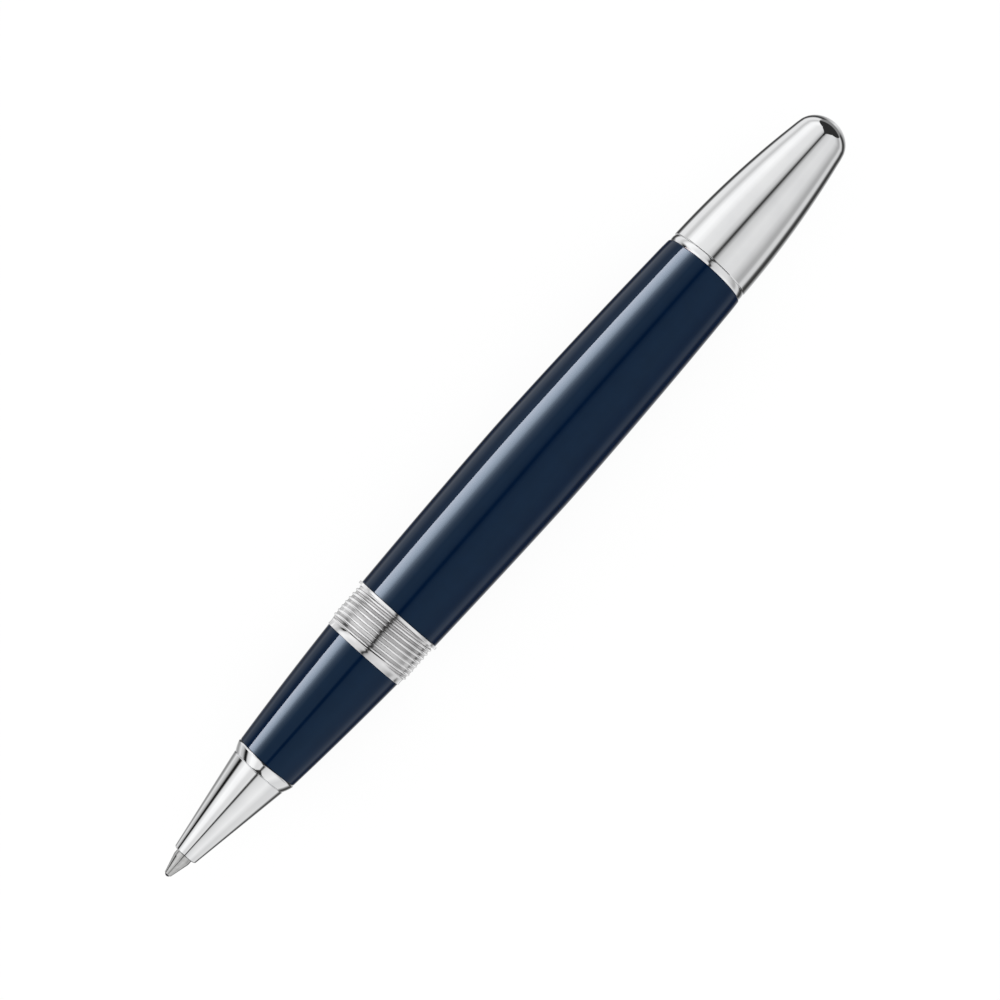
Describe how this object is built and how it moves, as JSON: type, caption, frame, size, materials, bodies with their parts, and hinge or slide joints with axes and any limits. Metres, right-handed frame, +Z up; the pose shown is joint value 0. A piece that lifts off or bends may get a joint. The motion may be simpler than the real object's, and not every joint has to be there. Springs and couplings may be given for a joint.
{
  "type": "rollerball pen",
  "caption": "Uncapped screw-barrel rollerball pen: bright nose cone, glossy dark grip and barrel, threaded cap collar, domed bright end cone and a sprung refill.",
  "frame": {"origin": "on the pen's axis at the middle of its length, which is the centre of its box", "axes": "+X along the pen's axis from the writing tip to the domed end, +Z up with the pen lying down"},
  "size_m": [0.128, 0.0134, 0.0134],
  "materials": {
    "bright_plate": "polished bright plating",
    "navy_resin": "deep navy resin, polished to a high gloss",
    "brass": "turned, unpolished",
    "black_plastic": "moulded, fine satin",
    "seal_rubber": "smooth moulded rubber",
    "spring_steel": "drawn wire",
    "tip_steel": "turned stainless steel",
    "wick_fibre": "bonded fibre",
    "refill_plastic": "extruded plastic, satin",
    "ink_fibre": "fibre soaked with ink",
    "ball_carbide": "polished hard ball"
  },
  "bodies": {
    "front_section": {"nose_cone": "bright_plate", "tip_bush": "black_plastic", "nose_ring": "bright_plate", "grip_sleeve": "navy_resin", "grip_liner": "brass", "thread_collar": "bright_plate", "section_tenon": "brass"},
    "thread_seal": {"o_ring": "seal_rubber"},
    "barrel": {"barrel_shell": "navy_resin", "barrel_liner": "brass", "barrel_thread_insert": "brass", "barrel_rear_bush": "brass", "barrel_end_ring": "bright_plate", "end_cone": "bright_plate", "cone_connector": "brass", "spring_seat": "black_plastic", "refill_spring": "spring_steel"},
    "refill": {"refill_tip": "tip_steel", "refill_tip_holder": "black_plastic", "feed_wick": "wick_fibre", "refill_tube": "refill_plastic", "ink_reservoir": "ink_fibre", "refill_end_plug": "refill_plastic"},
    "ball": {"writing_ball": "ball_carbide"}
  },
  "joints": [
    {"name": "barrel_turn", "type": "hinge", "parent": "front_section", "child": "thread_seal", "pos_m": [-0.0194, 0, 0], "axis": [1, 0, 0], "range_deg": [0, 2520.5]},
    {"name": "barrel_advance", "type": "slide", "parent": "thread_seal", "child": "barrel", "axis": [1, 0, 0], "range_m": [0, 0.0056]},
    {"name": "refill_float", "type": "slide", "parent": "front_section", "child": "refill", "axis": [1, 0, 0], "range_m": [0, 0.0006], "stiffness_N_per_m": 400, "springref_m": -0.001, "deforming": ["refill_spring"]},
    {"name": "ball_roll", "type": "hinge", "parent": "refill", "child": "ball", "pos_m": [-0.0636, 0, 0], "axis": [0, 1, 0], "continuous": true}
  ],
  "couplings": [
    {"joint": "barrel_turn", "follows": "barrel_advance", "rad_per_m": 7854}
  ]
}
